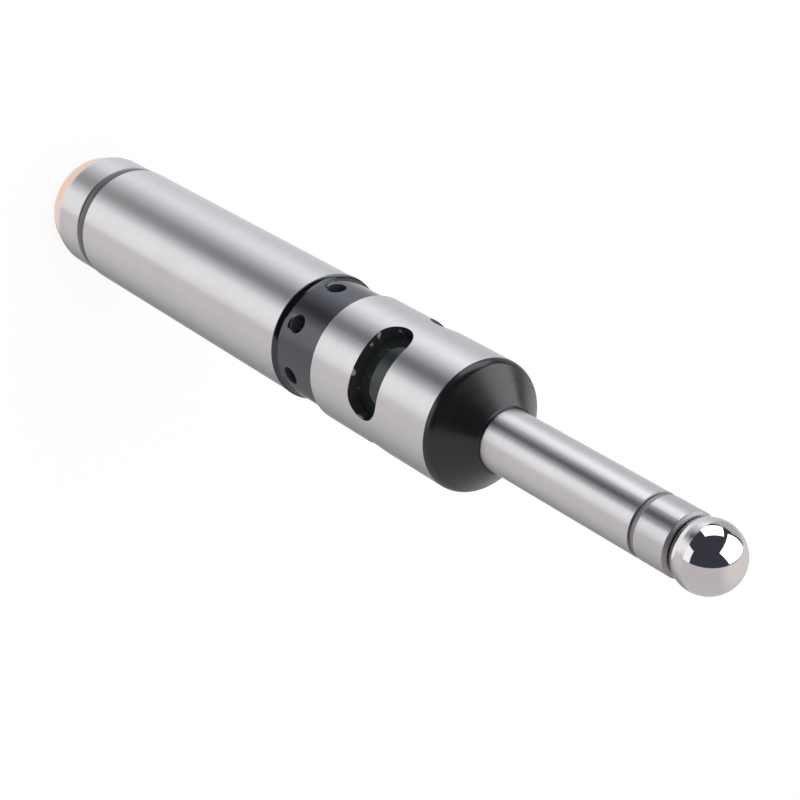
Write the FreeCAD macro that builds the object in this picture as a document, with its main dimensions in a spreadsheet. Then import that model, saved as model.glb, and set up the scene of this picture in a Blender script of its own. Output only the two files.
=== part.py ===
import FreeCAD, Part
import math
import os
import Sketcher

# Electronic edge finder for a milling machine: a ground straight shank with its
# battery, a black sounder ring, a sleeve with lamp windows, an insulating nose,
# and a thin stylus whose ball is drawn onto its seat by a spring.
# Millimetres. The tool stands on its battery cap: Z = 0 is the cap's flat end
# and +Z runs up the axis to the ball. One lamp window is centred on -Y.

DIMENSIONS = [
    ("shank_radius", 10.0),
    ("shank_length", 56.75),
    ("shank_wall", 3.8),
    ("shank_socket_depth", 8.5),
    ("edge_break", 0.25),
    ("fit_gap", 0.05),
    ("cut_margin", 1.0),
    ("cap_length", 10.47),
    ("cap_inset", 0.18),
    ("cap_chamfer_length", 3.7),
    ("cap_chamfer_depth", 1.19),
    ("end_disc_thickness", 1.9),
    ("coin_slot_length", 11.0),
    ("coin_slot_width", 2.0),
    ("cap_floor", 5.5),
    ("spigot_inset", 3.0),
    ("spigot_length", 7.0),
    ("seal_thickness", 1.6),
    ("seal_inset", 0.25),
    ("battery_clearance", 0.2),
    ("battery_length", 28.5),
    ("battery_nub_radius", 1.75),
    ("battery_nub_height", 1.1),
    ("battery_shoulder", 0.7),
    ("battery_spring_height", 9.0),
    ("battery_spring_inset", 0.85),
    ("battery_spring_wire", 0.4),
    ("battery_spring_turns", 4.0),
    ("sleeve_wall", 0.8),
    ("rod_radius", 1.0),
    ("rod_head_radius", 2.6),
    ("rod_head_thickness", 0.8),
    ("ring_length", 10.2),
    ("flange_oversize", 0.08),
    ("flange_length", 0.5),
    ("flange_slope", 0.78),
    ("flange_break", 0.3),
    ("band_inset", 0.5),
    ("ring_tail_inset", 2.0),
    ("ring_tail_length", 7.5),
    ("ring_nose_length", 5.5),
    ("ring_wall", 1.6),
    ("ring_lip_width", 0.65),
    ("ring_lip_height", 2.6),
    ("sound_hole_radius", 1.3),
    ("sound_hole_rim", 0.25),
    ("sound_hole_height", 3.75),
    ("sound_hole_count", 7.0),
    ("sound_hole_turn", -0.7),
    ("board_thickness", 1.2),
    ("chip_margin", 0.7),
    ("chip_width", 2.4),
    ("chip_height", 0.9),
    ("buzzer_clearance", 1.05),
    ("buzzer_height", 5.8),
    ("buzzer_port_radius", 1.0),
    ("buzzer_port_depth", 1.0),
    ("lead_radius", 0.25),
    ("holder_flange_length", 4.5),
    ("lamp_radius", 1.5),
    ("lamp_length", 2.0),
    ("lamp_clearance", 0.65),
    ("lamp_rim_width", 0.3),
    ("lamp_rim_length", 0.5),
    ("lamp_pocket_depth", 1.8),
    ("pin_radius", 0.9),
    ("pin_depth", 4.0),
    ("pin_reach", 1.35),
    ("body_oversize", 0.05),
    ("body_length", 26.6),
    ("body_wall", 2.35),
    ("window_count", 3.0),
    ("window_width", 6.62),
    ("window_setback", 14.18),
    ("window_span", 91.4),
    ("tube_wall", 0.9),
    ("nose_length", 5.7),
    ("nose_rim_length", 0.9),
    ("nose_land", 0.35),
    ("nose_tail_length", 6.5),
    ("ball_radius", 5.0),
    ("ball_hole_depth", 6.5),
    ("ball_travel", 3.0),
    ("stylus_inset", 0.3),
    ("stylus_reach", 29.38),
    ("stylus_shoulder", 3.3),
    ("stylus_tail_inset", 1.2),
    ("stylus_tail_length", 3.15),
    ("stylus_wall", 1.1),
    ("nut_thickness", 2.7),
    ("nut_clearance", 0.85),
    ("anchor_radius", 0.6),
    ("anchor_height", 5.5),
    ("anchor_margin", 1.0),
    ("joint_groove_width", 0.9),
    ("joint_groove_depth", 0.28),
    ("seat_length", 5.2),
    ("seat_chamfer", 0.45),
    ("seat_tail_length", 1.6),
    ("stem_radius", 0.9),
    ("stem_head_clearance", 0.7),
    ("stem_head_length", 1.6),
    ("tension_spring_clearance", 0.65),
    ("tension_spring_wire", 0.25),
    ("tension_spring_turns", 18.0),
]

doc = FreeCAD.newDocument("edge_finder")
sheet = doc.addObject("Spreadsheet::Sheet", "dims")


class Size:
    """A number together with the sheet formula that it comes from."""

    def __init__(self, value, formula):
        self.value = float(value)
        self.formula = formula

    def __add__(self, other):
        other = as_size(other)
        return Size(self.value + other.value, f"({self.formula} + {other.formula})")

    def __sub__(self, other):
        other = as_size(other)
        return Size(self.value - other.value, f"({self.formula} - {other.formula})")

    def __mul__(self, other):
        other = as_size(other)
        return Size(self.value * other.value, f"({self.formula} * {other.formula})")

    def __truediv__(self, other):
        other = as_size(other)
        return Size(self.value / other.value, f"({self.formula} / {other.formula})")


def as_size(number):
    """Return a Size for a plain number, or the Size itself."""
    return number if isinstance(number, Size) else Size(number, repr(float(number)))


def fill_sheet():
    """Write every driving dimension into the sheet, then read the Sizes back by name."""
    for row, (name, value) in enumerate(DIMENSIONS, start=1):
        sheet.set(f"A{row}", name)
        sheet.set(f"B{row}", str(value))
        sheet.setAlias(f"B{row}", name)
    doc.recompute()
    return {name: Size(sheet.getPropertyByName(name), f"dims.{name}") for name, value in DIMENSIONS}


d = fill_sheet()
zero = as_size(0)

# Radii, from the shank inwards and from the ball inwards.
shank_radius = d["shank_radius"]
shank_bore = shank_radius - d["shank_wall"]
cap_radius = shank_radius - d["cap_inset"]
cap_foot_radius = cap_radius - d["cap_chamfer_depth"]
spigot_radius = shank_radius - d["spigot_inset"]
seal_radius = shank_radius - d["seal_inset"]
battery_radius = shank_bore - d["fit_gap"] - d["sleeve_wall"] - d["battery_clearance"]
cap_recess_radius = battery_radius + d["battery_clearance"]
body_radius = shank_radius + d["body_oversize"]
body_bore = body_radius - d["body_wall"]
body_fit = body_bore - d["fit_gap"]
flange_radius = shank_radius + d["flange_oversize"]
band_radius = shank_radius - d["band_inset"]
ring_tail_radius = shank_radius - d["ring_tail_inset"]
ring_bore = body_fit - d["ring_wall"]
ring_lip = ring_bore - d["ring_lip_width"]
ring_fit = ring_bore - d["fit_gap"]
buzzer_radius = ring_bore - d["buzzer_clearance"]
tube_bore = body_fit - d["tube_wall"]
lamp_reach = d["lamp_length"] - d["lamp_pocket_depth"] + d["lamp_radius"]
holder_core = tube_bore - d["lamp_clearance"] - lamp_reach
lamp_floor = holder_core - d["lamp_pocket_depth"]
ball_radius = d["ball_radius"]
stylus_radius = ball_radius - d["stylus_inset"]
stylus_tail_radius = stylus_radius - d["stylus_tail_inset"]
stylus_bore = stylus_tail_radius - d["stylus_wall"]

# Heights along the axis, from the cap's end to the ball.
cap_top = d["cap_length"]
shank_start = cap_top + d["seal_thickness"]
spigot_top = shank_start + d["spigot_length"]
socket_end = shank_start + d["shank_socket_depth"]
shank_end = shank_start + d["shank_length"]
battery_start = d["cap_floor"] + d["battery_spring_height"]
battery_end = battery_start + d["battery_length"]
rod_head_end = battery_end + d["rod_head_thickness"]
ring_end = shank_end + d["ring_length"]
ring_tail_start = shank_end - d["ring_tail_length"]
ring_nose_end = ring_end + d["ring_nose_length"]
board_start = ring_tail_start + d["ring_lip_height"]
board_end = board_start + d["board_thickness"]
buzzer_end = board_end + d["buzzer_height"]
body_end = ring_end + d["body_length"]
window_centre = body_end - d["window_setback"]
nose_tail_start = body_end - d["nose_tail_length"]
nose_end = body_end + d["nose_length"]
nut_start = nose_tail_start - d["nut_thickness"]
stylus_start = nose_tail_start - d["stylus_tail_length"]
stylus_shoulder = nose_end - d["stylus_shoulder"]
stylus_end = nose_end + d["stylus_reach"]
holder_start = ring_nose_end - d["holder_flange_length"]
holder_end = stylus_start - d["pin_reach"]
pin_start = holder_end - d["pin_depth"]
anchor_centre = nose_tail_start + d["anchor_height"]
stylus_bore_start = anchor_centre - d["anchor_radius"] - d["anchor_margin"]
seat_start = stylus_end + d["joint_groove_width"]
seat_end = seat_start + d["seat_length"]
seat_face = seat_end + d["seat_chamfer"]
seat_tail_start = stylus_end - d["seat_tail_length"]

# The windows lie evenly round the sleeve. A window's rounded ends take up part
# of its span, as turns in degrees at the sleeve's surface.
window_half = d["window_width"] / 2
window_pitch = as_size(360) / d["window_count"]
window_end_turn = window_half / body_radius * math.degrees(1)
window_straight_turn = d["window_span"] - window_end_turn * 2

# The ball rests in a 90 degree cone: it touches where its radius stands at 45
# degrees to the axis, just below the seat's face.
contact_radius = ball_radius * math.sqrt(0.5)
seat_mouth = stylus_radius - d["seat_chamfer"] - d["edge_break"]
contact_height = seat_face - (seat_mouth - contact_radius)
ball_centre = contact_height + contact_radius + d["fit_gap"]
stem_end = ball_centre - ball_radius + d["ball_hole_depth"]
stem_head_end = seat_tail_start - d["ball_travel"] - d["edge_break"]
stem_head_start = stem_head_end - d["stem_head_length"]


def bind(target, path, size):
    """Tie one property of an object to its formula."""
    target.setExpression(path, size.formula)


def place(target, x=zero, y=zero, z=zero):
    """Tie an object's position to the sheet."""
    for letter, size in zip("xyz", (x, y, z)):
        bind(target, f"Placement.Base.{letter}", size)


def turn(target, axis, degrees):
    """Turn an object about an axis through its own origin."""
    target.Placement = FreeCAD.Placement(FreeCAD.Vector(), FreeCAD.Rotation(axis, 0))
    bind(target, "Placement.Rotation.Angle", as_size(degrees))


def add(kind, label, **sizes):
    """Add a Part primitive whose properties are tied to the sheet."""
    target = doc.addObject(kind, label)
    for prop, size in sizes.items():
        bind(target, prop, size)
    return target


def cut(label, base, tool):
    """Cut one object from another."""
    result = doc.addObject("Part::Cut", label)
    result.Base = base
    result.Tool = tool
    return result


def new_body(label):
    """Start an empty body."""
    body = doc.addObject("PartDesign::Body", label)
    body.Label = label
    return body


def new_sketch(body, plane, name):
    """Attach a sketch to one of the body's own origin planes."""
    sketch = body.newObject("Sketcher::SketchObject", name)
    support = [item for item in body.Origin.OriginFeatures if item.Role == plane][0]
    sketch.AttachmentSupport = (support, [""])
    sketch.MapMode = "FlatFace"
    return sketch


def fix(sketch, kind, geometry, point, size):
    """Hold a sketch point at a distance from the origin that the sheet gives."""
    index = sketch.addConstraint(Sketcher.Constraint(kind, -1, 1, geometry, point, size.value))
    bind(sketch, f"Constraints[{index}]", size)


def fix_point(sketch, geometry, point, across, up):
    """Hold a sketch point in both directions, on an axis where the size is zero."""
    if across is zero:
        sketch.addConstraint(Sketcher.Constraint("PointOnObject", geometry, point, -2))
    else:
        fix(sketch, "DistanceX", geometry, point, across)
    if up is zero:
        sketch.addConstraint(Sketcher.Constraint("PointOnObject", geometry, point, -1))
    else:
        fix(sketch, "DistanceY", geometry, point, up)


def draw_outline(sketch, points):
    """Draw a closed outline of straight edges through (across, up) points."""
    corners = [FreeCAD.Vector(across.value, up.value, 0) for across, up in points]
    for index, corner in enumerate(corners):
        following = corners[(index + 1) % len(corners)]
        sketch.addGeometry(Part.LineSegment(corner, following))
    for index in range(len(corners)):
        following = (index + 1) % len(corners)
        sketch.addConstraint(Sketcher.Constraint("Coincident", index, 2, following, 1))
    for index, (across, up) in enumerate(points):
        fix_point(sketch, index, 1, across, up)


def draw_circle(sketch, across, up, radius):
    """Draw a circle, placed and sized from the sheet."""
    centre = FreeCAD.Vector(across.value, up.value, 0)
    index = sketch.addGeometry(Part.Circle(centre, FreeCAD.Vector(0, 0, 1), radius.value))
    fix_point(sketch, index, 3, across, up)
    held = sketch.addConstraint(Sketcher.Constraint("Radius", index, radius.value))
    bind(sketch, f"Constraints[{held}]", radius)


def turned(label, points):
    """Turn one piece on the lathe: its half section is swept about Z."""
    body = new_body(label)
    sketch = new_sketch(body, "XZ_Plane", label + "_section")
    draw_outline(sketch, points)
    swept = body.newObject("PartDesign::Revolution", label + "_turned")
    swept.Profile = sketch
    swept.ReferenceAxis = (sketch, ["V_Axis"])
    swept.Angle = 360
    return body


def repeated(body, label, features, count):
    """Repeat a body's features evenly round its axis."""
    pattern = body.newObject("PartDesign::PolarPattern", label)
    pattern.Originals = features
    pattern.Axis = ([item for item in body.Origin.OriginFeatures if item.Role == "Z_Axis"][0], [""])
    pattern.Angle = 360
    bind(pattern, "Occurrences", count)
    body.Tip = pattern


def coil(label, radius, wire, turns, bottom, top):
    """Wind a spring from straight chords, fine enough for so thin a wire."""
    chords_per_turn = 12
    wire_sides = 6
    chords = round(turns.value * chords_per_turn)
    start = bottom.value + wire.value
    rise = top.value - wire.value - start
    path = []
    for index in range(chords + 1):
        angle = 2 * math.pi * index / chords_per_turn
        height = start + rise * index / chords
        path.append(FreeCAD.Vector(radius.value * math.cos(angle), radius.value * math.sin(angle), height))
    section = []
    for index in range(wire_sides + 1):
        angle = 2 * math.pi * index / wire_sides
        across = radius.value + wire.value * math.sin(angle)
        section.append(FreeCAD.Vector(across, 0, start + wire.value * math.cos(angle)))
    round_corners = 1
    spine = Part.makePolygon(path)
    spring = doc.addObject("Part::Feature", label)
    spring.Shape = spine.makePipeShell([Part.makePolygon(section)], True, True, round_corners)
    return spring


# Battery cap, its end disc, seal and contact spring.

def chamfer_radius():
    """Radius of the cap's long chamfer where the end disc meets the cap."""
    return cap_foot_radius + d["cap_chamfer_depth"] * d["end_disc_thickness"] / d["cap_chamfer_length"]


def make_end_disc():
    """Disc on the cap's end: it carries the chamfer on and has a coin slot."""
    body = turned("cap_end_disc", [
        (zero, zero),
        (cap_foot_radius - d["edge_break"], zero),
        (cap_foot_radius, d["edge_break"]),
        (chamfer_radius(), d["end_disc_thickness"]),
        (zero, d["end_disc_thickness"]),
    ])
    sketch = new_sketch(body, "XY_Plane", "coin_slot_sketch")
    half_length = d["coin_slot_length"] / 2
    half_width = d["coin_slot_width"] / 2
    draw_outline(sketch, [
        (half_length * -1, half_width * -1),
        (half_length, half_width * -1),
        (half_length, half_width),
        (half_length * -1, half_width),
    ])
    slot = body.newObject("PartDesign::Pocket", "coin_slot")
    slot.Profile = sketch
    bind(slot, "Length", d["end_disc_thickness"])
    slot.Reversed = True
    return body


def make_battery_cap():
    """Steel cap with a threaded spigot; the spring stands in its recess."""
    return turned("battery_cap", [
        (zero, d["end_disc_thickness"]),
        (chamfer_radius(), d["end_disc_thickness"]),
        (cap_radius, d["cap_chamfer_length"]),
        (cap_radius, cap_top - d["edge_break"]),
        (cap_radius - d["edge_break"], cap_top),
        (spigot_radius, cap_top),
        (spigot_radius, spigot_top - d["edge_break"]),
        (spigot_radius - d["edge_break"], spigot_top),
        (cap_recess_radius, spigot_top),
        (cap_recess_radius, d["cap_floor"]),
        (zero, d["cap_floor"]),
    ])


def make_cap_seal():
    """Flat ring between the cap's head and the shank's end."""
    return turned("cap_seal", [
        (spigot_radius + d["fit_gap"], cap_top),
        (seal_radius, cap_top),
        (seal_radius, shank_start),
        (spigot_radius + d["fit_gap"], shank_start),
    ])


def make_battery_spring():
    """Compression spring that pushes the battery against its contact."""
    return coil("battery_spring", battery_radius - d["battery_spring_inset"], d["battery_spring_wire"],
                d["battery_spring_turns"], d["cap_floor"], battery_start)


# Shank and what it holds.

def make_shank():
    """Ground tube with a threaded socket at each end."""
    cap_socket = spigot_radius + d["fit_gap"]
    ring_socket = ring_tail_radius + d["fit_gap"]
    return turned("shank", [
        (cap_socket, shank_start),
        (shank_radius - d["edge_break"], shank_start),
        (shank_radius, shank_start + d["edge_break"]),
        (shank_radius, shank_end - d["edge_break"]),
        (shank_radius - d["edge_break"], shank_end),
        (ring_socket, shank_end),
        (ring_socket, ring_tail_start),
        (shank_bore, ring_tail_start),
        (shank_bore, socket_end),
        (cap_socket, socket_end),
    ])


def make_battery():
    """Slim dry cell: can, rolled shoulder and contact nub."""
    shoulder_height = battery_end - d["battery_nub_height"]
    return turned("battery", [
        (zero, battery_start),
        (battery_radius - d["edge_break"], battery_start),
        (battery_radius, battery_start + d["edge_break"]),
        (battery_radius, shoulder_height - d["battery_shoulder"]),
        (battery_radius - d["battery_shoulder"], shoulder_height),
        (d["battery_nub_radius"], shoulder_height),
        (d["battery_nub_radius"], battery_end),
        (zero, battery_end),
    ])


def make_battery_sleeve():
    """Insulating tube that keeps the battery off the shank."""
    outside = shank_bore - d["fit_gap"]
    return turned("battery_sleeve", [
        (outside - d["sleeve_wall"], socket_end),
        (outside, socket_end),
        (outside, battery_end),
        (outside - d["sleeve_wall"], battery_end),
    ])


def make_contact_insulator():
    """Moulded plug that holds the contact rod on the axis."""
    outside = shank_bore - d["fit_gap"]
    head_pocket = d["rod_head_radius"] + d["fit_gap"]
    rod_hole = d["rod_radius"] + d["fit_gap"]
    return turned("contact_insulator", [
        (head_pocket, battery_end),
        (outside, battery_end),
        (outside, ring_tail_start),
        (rod_hole, ring_tail_start),
        (rod_hole, rod_head_end),
        (head_pocket, rod_head_end),
    ])


def make_contact_rod():
    """Brass rod from the battery to the circuit board."""
    return turned("contact_rod", [
        (zero, battery_end),
        (d["rod_head_radius"], battery_end),
        (d["rod_head_radius"], rod_head_end),
        (d["rod_radius"], rod_head_end),
        (d["rod_radius"], board_start),
        (zero, board_start),
    ])


# Sounder ring, circuit board and lamps.

def make_sound_ring():
    """Black ring with a flange, a lower band and radial sound holes."""
    flange_end = shank_end + d["flange_length"]
    body = turned("sound_ring", [
        (ring_lip, ring_tail_start),
        (ring_tail_radius - d["edge_break"], ring_tail_start),
        (ring_tail_radius, ring_tail_start + d["edge_break"]),
        (ring_tail_radius, shank_end),
        (flange_radius - d["flange_break"], shank_end),
        (flange_radius, shank_end + d["flange_break"]),
        (flange_radius, flange_end),
        (band_radius, flange_end + d["flange_slope"]),
        (band_radius, ring_end),
        (body_fit, ring_end),
        (body_fit, ring_nose_end),
        (ring_bore, ring_nose_end),
        (ring_bore, board_start),
        (ring_lip, board_start),
    ])
    sketch = new_sketch(body, "YZ_Plane", "sound_hole_section")
    height = shank_end + d["sound_hole_height"]
    wall = height + d["sound_hole_radius"]
    rim_start = band_radius - d["sound_hole_rim"]
    outside = band_radius + d["cut_margin"]
    inside = ring_bore - d["cut_margin"]
    draw_outline(sketch, [
        (inside * -1, height),
        (outside * -1, height),
        (outside * -1, wall + outside - rim_start),
        (rim_start * -1, wall),
        (inside * -1, wall),
    ])
    hole = body.newObject("PartDesign::Groove", "sound_hole")
    hole.Profile = sketch
    hole.ReferenceAxis = (sketch, ["Edge1"])
    hole.Angle = 360
    repeated(body, "sound_holes", [hole], d["sound_hole_count"])
    turn(body, FreeCAD.Vector(0, 0, 1), d["sound_hole_turn"])
    return body


def make_circuit_board():
    """Round board that sits on the ring's inner lip."""
    return turned("circuit_board", [
        (zero, board_start),
        (ring_fit, board_start),
        (ring_fit, board_end),
        (zero, board_end),
    ])


def make_driver_chip():
    """Small amplifier chip on the underside of the board, beside the rod."""
    room = ring_lip - d["rod_radius"]
    chip = add("Part::Box", "driver_chip", Length=room - d["chip_margin"] * 2, Width=d["chip_width"],
               Height=d["chip_height"])
    place(chip, d["rod_radius"] + d["chip_margin"], d["chip_width"] / -2, board_start - d["chip_height"])
    return chip


def make_buzzer():
    """Round buzzer on the board, with a sound port in its top."""
    port_floor = buzzer_end - d["buzzer_port_depth"]
    return turned("buzzer", [
        (zero, board_end),
        (buzzer_radius, board_end),
        (buzzer_radius, buzzer_end - d["edge_break"]),
        (buzzer_radius - d["edge_break"], buzzer_end),
        (d["buzzer_port_radius"], buzzer_end),
        (d["buzzer_port_radius"], port_floor),
        (zero, port_floor),
    ])


def make_lamp_leads():
    """Two stiff leads past the buzzer, from the board to the lamp holder."""
    middle = (buzzer_radius + ring_bore) / 2
    leads = []
    for side, name in ((1, "plus"), (-1, "minus")):
        lead = add("Part::Cylinder", "lamp_lead_" + name, Radius=d["lead_radius"],
                   Height=holder_start - board_end)
        place(lead, middle * side, zero, board_end)
        leads.append(lead)
    pair = doc.addObject("Part::Compound", "lamp_leads")
    pair.Links = leads
    return pair


def make_lamp_holder():
    """Turned core with a pocket for each lamp and a bore for the signal pin."""
    pin_hole = d["pin_radius"] + d["fit_gap"]
    body = turned("lamp_holder", [
        (zero, holder_start),
        (ring_fit, holder_start),
        (ring_fit, ring_nose_end),
        (holder_core, ring_nose_end),
        (holder_core, holder_end),
        (pin_hole, holder_end),
        (pin_hole, pin_start),
        (zero, pin_start),
    ])
    sketch = new_sketch(body, "YZ_Plane", "lamp_pocket_section")
    wall = window_centre + d["lamp_radius"] + d["fit_gap"]
    outside = holder_core + d["cut_margin"]
    draw_outline(sketch, [
        (lamp_floor * -1, window_centre),
        (outside * -1, window_centre),
        (outside * -1, wall),
        (lamp_floor * -1, wall),
    ])
    pocket = body.newObject("PartDesign::Groove", "lamp_pocket")
    pocket.Profile = sketch
    pocket.ReferenceAxis = (sketch, ["Edge1"])
    pocket.Angle = 360
    repeated(body, "lamp_pockets", [pocket], d["window_count"])
    return body


def make_lamps():
    """Light-emitting diodes, each looking out radially at one window."""
    rim_radius = d["lamp_radius"] + d["lamp_rim_width"]
    lamps = []
    for number in range(round(d["window_count"].value)):
        name = f"lamp_{number + 1}"
        rim = add("Part::Cylinder", name + "_rim", Radius=rim_radius, Height=d["lamp_rim_length"])
        barrel = add("Part::Cylinder", name + "_barrel", Radius=d["lamp_radius"], Height=d["lamp_length"])
        dome = add("Part::Sphere", name + "_dome", Radius=d["lamp_radius"])
        starts = (holder_core, lamp_floor, lamp_floor + d["lamp_length"])
        for piece, start in zip((rim, barrel, dome), starts):
            turn(piece, FreeCAD.Vector(1, 0, 0), 90)
            place(piece, zero, start * -1, window_centre)
        lamp = doc.addObject("Part::MultiFuse", name)
        lamp.Shapes = [rim, barrel, dome]
        turn(lamp, FreeCAD.Vector(0, 0, 1), window_pitch * number)
        lamps.append(lamp)
    return lamps


def make_signal_pin():
    """Brass pin from the lamp holder to the stylus's tail."""
    return turned("signal_pin", [
        (zero, pin_start),
        (d["pin_radius"], pin_start),
        (d["pin_radius"], stylus_start),
        (zero, stylus_start),
    ])


def make_window_tube():
    """Smoked tube behind the sleeve's windows."""
    return turned("window_tube", [
        (tube_bore, ring_nose_end),
        (body_fit, ring_nose_end),
        (body_fit, nose_tail_start),
        (tube_bore, nose_tail_start),
    ])


def make_body_sleeve():
    """Ground sleeve with round-ended windows milled along its girth."""
    body = turned("body_sleeve", [
        (body_bore, ring_end),
        (body_radius - d["edge_break"], ring_end),
        (body_radius, ring_end + d["edge_break"]),
        (body_radius, body_end - d["edge_break"]),
        (body_radius - d["edge_break"], body_end),
        (body_bore, body_end),
    ])
    outside = body_radius + d["cut_margin"]
    inside = body_bore - d["cut_margin"]
    section = new_sketch(body, "YZ_Plane", "window_section")
    draw_outline(section, [
        (inside * -1, window_centre - window_half),
        (outside * -1, window_centre - window_half),
        (outside * -1, window_centre + window_half),
        (inside * -1, window_centre + window_half),
    ])
    middle = body.newObject("PartDesign::Groove", "window_middle")
    middle.Profile = section
    middle.ReferenceAxis = (section, ["V_Axis"])
    middle.Midplane = True
    bind(middle, "Angle", window_straight_turn)
    features = [middle]
    for side, name in ((1, "left"), (-1, "right")):
        sketch = new_sketch(body, "XZ_Plane", f"window_{name}_sketch")
        upright = FreeCAD.Rotation(FreeCAD.Vector(0, 1, 0), 0)
        sketch.AttachmentOffset = FreeCAD.Placement(FreeCAD.Vector(), upright)
        bind(sketch, "AttachmentOffset.Rotation.Angle", window_straight_turn / 2 * side)
        draw_circle(sketch, zero, window_centre, window_half)
        end = body.newObject("PartDesign::Pocket", f"window_{name}_end")
        end.Profile = sketch
        bind(end, "Length", outside)
        end.Reversed = True
        features.append(end)
    repeated(body, "windows", features, d["window_count"])
    return body


# Insulating nose, stylus and ball.

def make_nose_cone():
    """Black insulating nose: a rim and a cone in front, a tail inside the sleeve."""
    tail_hole = stylus_tail_radius + d["fit_gap"]
    stylus_hole = stylus_radius + d["fit_gap"]
    return turned("nose_cone", [
        (tail_hole, nose_tail_start),
        (body_fit, nose_tail_start),
        (body_fit, body_end),
        (body_radius - d["edge_break"], body_end),
        (body_radius, body_end + d["edge_break"]),
        (body_radius, body_end + d["nose_rim_length"]),
        (stylus_radius + d["nose_land"], nose_end),
        (stylus_hole, nose_end),
        (stylus_hole, stylus_shoulder),
        (tail_hole, stylus_shoulder),
    ])


def make_stylus_tube():
    """Thin ground tube, shouldered in the nose, with the spring in its bore."""
    body = turned("stylus_tube", [
        (zero, stylus_start),
        (stylus_tail_radius - d["edge_break"], stylus_start),
        (stylus_tail_radius, stylus_start + d["edge_break"]),
        (stylus_tail_radius, stylus_shoulder),
        (stylus_radius, stylus_shoulder),
        (stylus_radius, stylus_end),
        (stylus_bore, stylus_end),
        (stylus_bore, stylus_bore_start),
        (zero, stylus_bore_start),
    ])
    sketch = new_sketch(body, "XZ_Plane", "anchor_hole_sketch")
    draw_circle(sketch, zero, anchor_centre, d["anchor_radius"] + d["fit_gap"])
    hole = body.newObject("PartDesign::Pocket", "anchor_hole")
    hole.Profile = sketch
    bind(hole, "Length", (stylus_radius + d["cut_margin"]) * 2)
    hole.Midplane = True
    return body


def make_stylus_nut():
    """Thin hexagon nut that draws the stylus into the nose."""
    blank = add("Part::Prism", "stylus_nut_blank", Circumradius=tube_bore - d["nut_clearance"],
                Height=d["nut_thickness"])
    blank.Polygon = 6
    place(blank, z=nut_start)
    hole = add("Part::Cylinder", "stylus_nut_hole", Radius=stylus_tail_radius + d["fit_gap"],
               Height=d["nut_thickness"])
    place(hole, z=nut_start)
    return cut("stylus_nut", blank, hole)


def make_anchor_pin():
    """Cross pin that the spring's tail hooks onto."""
    pin = add("Part::Cylinder", "anchor_pin", Radius=d["anchor_radius"], Height=stylus_tail_radius * 2)
    turn(pin, FreeCAD.Vector(1, 0, 0), 90)
    place(pin, y=stylus_tail_radius, z=anchor_centre)
    return pin


def make_tension_spring():
    """Tension spring between the cross pin and the stem's head."""
    return coil("tension_spring", stylus_bore - d["tension_spring_clearance"], d["tension_spring_wire"],
                d["tension_spring_turns"], anchor_centre + d["anchor_radius"], stem_head_start)


def make_ball_seat():
    """Hardened seat: a necked collar with a 90 degree cone for the ball."""
    bore = d["stem_radius"] + d["edge_break"]
    tail_radius = stylus_bore - d["fit_gap"]
    neck_radius = stylus_radius - d["joint_groove_depth"]
    return turned("ball_seat", [
        (bore, seat_tail_start),
        (tail_radius, seat_tail_start),
        (tail_radius, stylus_end),
        (neck_radius, stylus_end),
        (neck_radius, seat_start),
        (stylus_radius, seat_start),
        (stylus_radius, seat_end),
        (stylus_radius - d["seat_chamfer"], seat_face),
        (seat_mouth, seat_face),
        (bore, seat_face - (seat_mouth - bore)),
    ])


def make_ball_stem():
    """Stem that is set in the ball and ends in the spring's head."""
    head_radius = stylus_bore - d["stem_head_clearance"]
    return turned("ball_stem", [
        (zero, stem_head_start),
        (head_radius, stem_head_start),
        (head_radius, stem_head_end),
        (d["stem_radius"], stem_head_end),
        (d["stem_radius"], stem_end),
        (zero, stem_end),
    ])


def make_ball():
    """Polished steel ball, drilled for its stem."""
    sphere = add("Part::Sphere", "ball_blank", Radius=ball_radius)
    place(sphere, z=ball_centre)
    hole = add("Part::Cylinder", "ball_hole", Radius=d["stem_radius"] + d["fit_gap"],
               Height=d["ball_hole_depth"])
    place(hole, z=ball_centre - ball_radius)
    return cut("ball", sphere, hole)


nodes = [
    make_end_disc(),
    make_battery_cap(),
    make_cap_seal(),
    make_battery_spring(),
    make_shank(),
    make_battery(),
    make_battery_sleeve(),
    make_contact_insulator(),
    make_contact_rod(),
    make_sound_ring(),
    make_circuit_board(),
    make_driver_chip(),
    make_buzzer(),
    make_lamp_leads(),
    make_lamp_holder(),
    *make_lamps(),
    make_signal_pin(),
    make_window_tube(),
    make_body_sleeve(),
    make_nose_cone(),
    make_stylus_tube(),
    make_stylus_nut(),
    make_anchor_pin(),
    make_tension_spring(),
    make_ball_seat(),
    make_ball_stem(),
    make_ball(),
]

doc.recompute()

for item in doc.Objects:
    if "Invalid" in item.State or "Error" in item.State:
        raise RuntimeError(f"{item.Name} did not rebuild: {item.State}")

os.makedirs("parts", exist_ok=True)
for node in nodes:
    shape = node.Shape
    if shape.isNull() or not shape.isValid() or not shape.Solids:
        raise RuntimeError(f"{node.Label} has no sound solid")
    shape.exportStep(f"parts/{node.Label}.step")
    box = shape.BoundBox
    print(f"{node.Label:20s} solids {len(shape.Solids)} volume {shape.Volume:9.2f} "
          f"z {box.ZMin:7.2f} to {box.ZMax:7.2f} radius {box.XMax:6.2f}")
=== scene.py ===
"""Electronic edge finder standing on its battery cap, in a plain white studio."""

import math

import bmesh
import bpy
from mathutils import Matrix, Quaternion, Vector


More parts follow.
